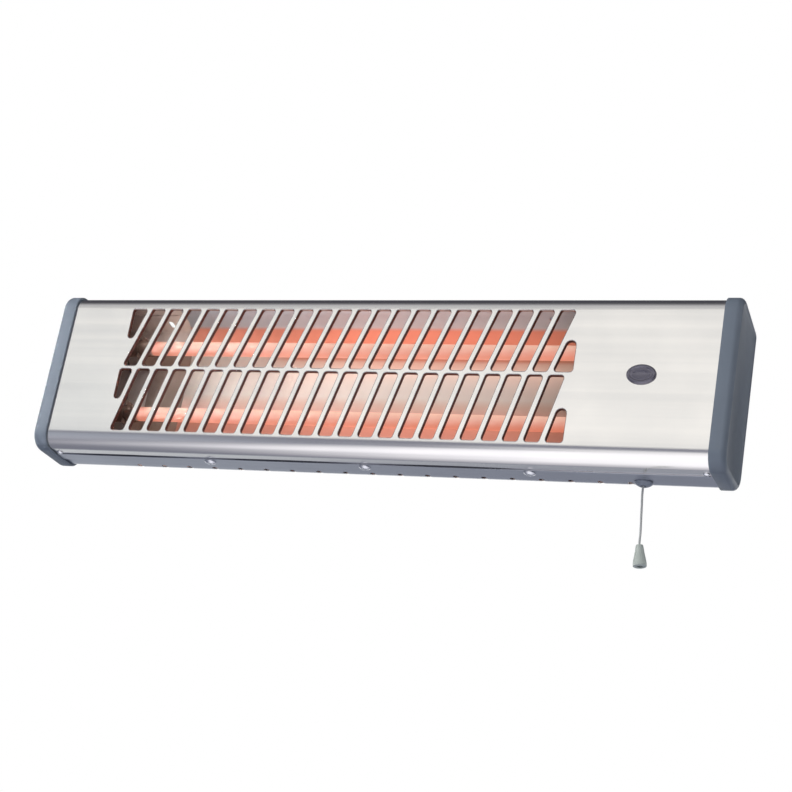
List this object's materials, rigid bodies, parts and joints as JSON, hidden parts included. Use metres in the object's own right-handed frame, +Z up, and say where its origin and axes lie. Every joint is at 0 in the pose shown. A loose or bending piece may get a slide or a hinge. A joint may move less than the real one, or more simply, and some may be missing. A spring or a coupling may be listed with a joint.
{
  "type": "electric bar heater",
  "caption": "Wall-hung radiant heater: long folded steel body with slanted grille slots, glowing quartz tubes, grey end caps, pull cord and tilting brackets.",
  "frame": {"origin": "on the wall plane, in the middle of the four wall-fixing holes of the two brackets", "axes": "+X along the heater to the end with the pull cord, +Y into the wall, +Z up"},
  "size_m": [0.586, 0.0993, 0.2054],
  "materials": {
    "cover_steel": "fine brushed, warm pale steel",
    "housing_steel": "brushed, blue-grey",
    "cap_plastic": "fine satin grey",
    "badge_plastic": "dark grey, slightly metallic",
    "screw_steel": "bright zinc",
    "reflector_metal": "polished",
    "holder_steel": "plain zinc-plated",
    "rivet_metal": "plain",
    "quartz": "milky, glowing salmon",
    "coil_wire": "glowing resistance wire",
    "ceramic": "unglazed steatite",
    "brass": "plain",
    "glass_sleeving": "woven glass-fibre sleeve",
    "blue_wire": "wire insulation",
    "brown_wire": "wire insulation",
    "earth_wire": "wire insulation, green with yellow stripe",
    "switch_plastic": "off-white moulding",
    "drum_plastic": "dark moulding",
    "spring_steel": "spring wire",
    "guide_plastic": "satin grey",
    "cord": "braided nylon",
    "knob_plastic": "light greenish grey",
    "clamp_plastic": "black moulding",
    "grommet_rubber": "black",
    "bracket_steel": "zinc-plated and lacquered",
    "bolt_steel": "zinc-plated",
    "washer_fibre": "vulcanised fibre"
  },
  "bodies": {
    "wall_brackets": {"left_wall_bracket": "bracket_steel", "right_wall_bracket": "bracket_steel", "pivot_bolts": "bolt_steel", "friction_washers": "washer_fibre", "wing_nuts": "bolt_steel"},
    "heater": {"front_cover": "cover_steel", "rear_housing": "housing_steel", "left_end_cap": "cap_plastic", "right_end_cap": "cap_plastic", "badge": "badge_plastic", "bottom_cover_screws": "screw_steel", "top_cover_screws": "screw_steel", "cap_screws": "screw_steel", "reflector": "reflector_metal", "left_tube_holder": "holder_steel", "right_tube_holder": "holder_steel", "panel_rivets": "rivet_metal", "upper_quartz_tube": "quartz", "lower_quartz_tube": "quartz", "upper_heating_coil": "coil_wire", "lower_heating_coil": "coil_wire", "upper_left_ceramic": "ceramic", "lower_left_ceramic": "ceramic", "upper_right_ceramic": "ceramic", "lower_right_ceramic": "ceramic", "tube_terminals": "brass", "jumper_wire": "glass_sleeving", "neutral_wire": "blue_wire", "live_wires": "brown_wire", "earth_wire": "earth_wire", "pull_switch_body": "switch_plastic", "switch_bracket": "holder_steel", "return_spring": "spring_steel", "cord_guide": "guide_plastic", "terminal_block": "switch_plastic", "terminal_screws": "brass", "cable_clamp": "clamp_plastic", "clamp_screws": "screw_steel", "cable_grommet": "grommet_rubber", "earth_screw": "brass", "left_tilt_lug": "bracket_steel", "right_tilt_lug": "bracket_steel", "lug_rivets": "rivet_metal"},
    "pull": {"inner_cord": "cord", "pull_cord": "cord", "cord_knot": "cord", "pull_knob": "knob_plastic"},
    "drum": {"switch_drum": "drum_plastic"}
  },
  "joints": [
    {"name": "tilt", "type": "hinge", "parent": "wall_brackets", "child": "heater", "pos_m": [0, -0.02, 0], "axis": [1, 0, 0], "range_deg": [0, 30]},
    {"name": "pull_slide", "type": "slide", "parent": "heater", "child": "pull", "axis": [0, 0, -1], "range_m": [0, 0.01], "stiffness_N_per_m": 500, "springref_m": -0.004},
    {"name": "drum_spin", "type": "hinge", "parent": "heater", "child": "drum", "pos_m": [0.215, -0.0563, -0.0511], "axis": [0, 1, 0], "range_deg": [0, 72]}
  ],
  "couplings": [
    {"joint": "drum_spin", "follows": "pull_slide", "rad_per_m": 125}
  ]
}
